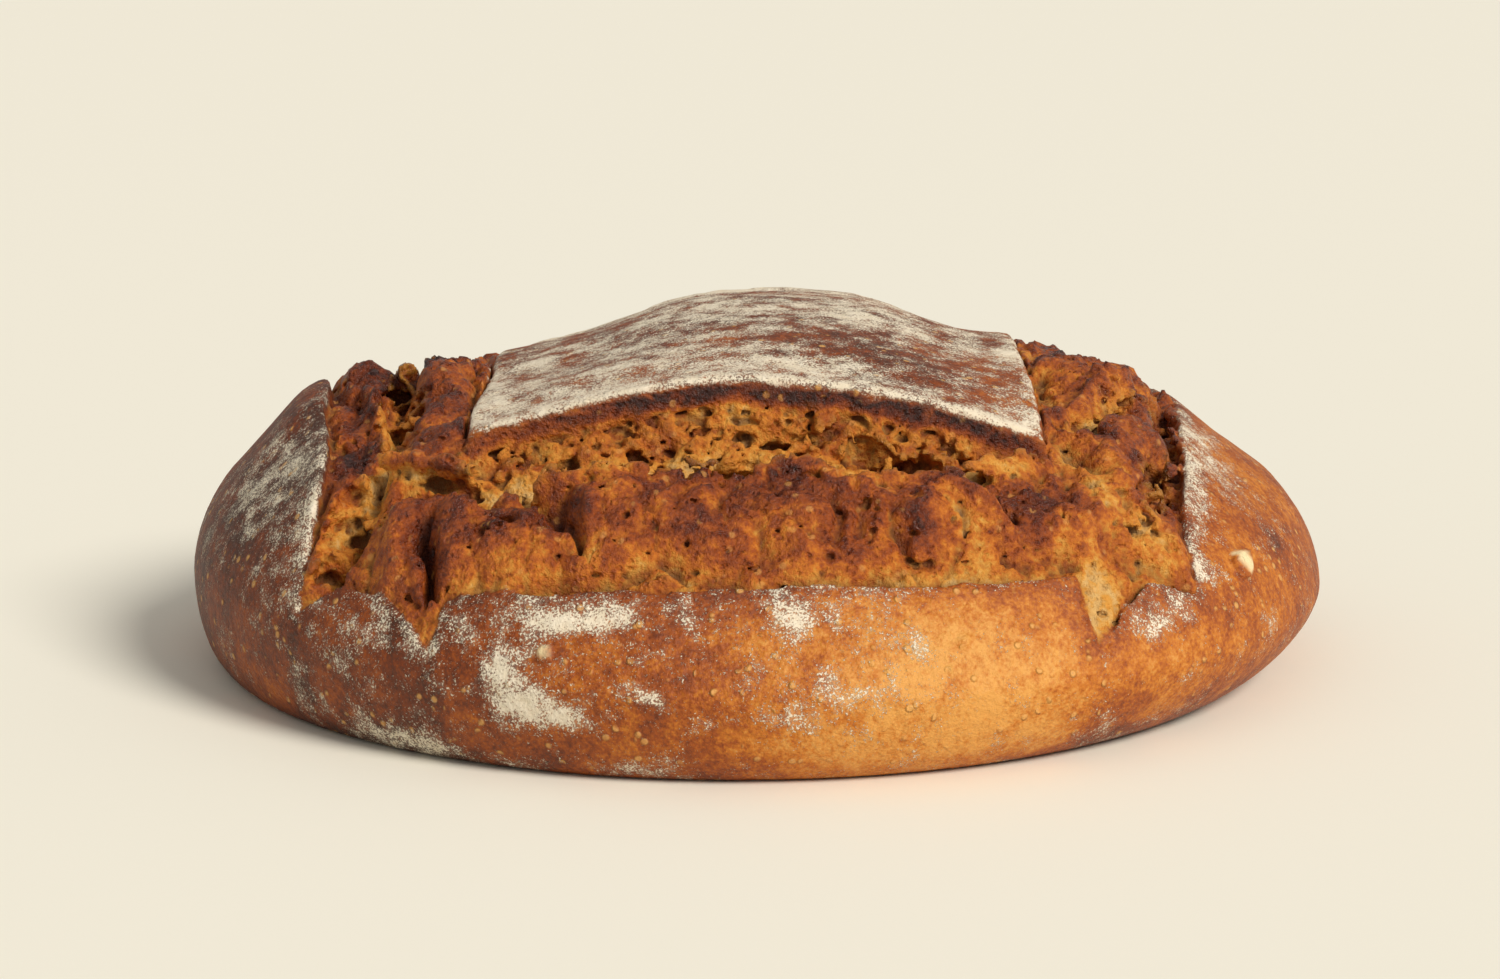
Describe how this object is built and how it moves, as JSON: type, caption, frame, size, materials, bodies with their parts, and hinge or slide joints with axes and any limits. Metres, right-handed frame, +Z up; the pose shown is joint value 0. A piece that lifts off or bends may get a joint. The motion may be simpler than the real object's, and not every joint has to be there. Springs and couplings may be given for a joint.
{
  "type": "sourdough loaf",
  "caption": "Round, low, crusty sourdough loaf, slashed in a crossed square pattern that tore open around a floured square of crust, with a flat base that rests on a table or board.",
  "frame": {"origin": "centre of the loaf's plan outline, on the surface that it rests on", "axes": "+Z up through the top crust, +X to the loaf's right seen from the front, -Y towards the front, where the widest tear is"},
  "size_m": [0.25, 0.246, 0.0766],
  "materials": {
    "crust": "baked crust, partly dusted with flour"
  },
  "bodies": {
    "root": {"loaf": "crust"}
  },
  "joints": []
}
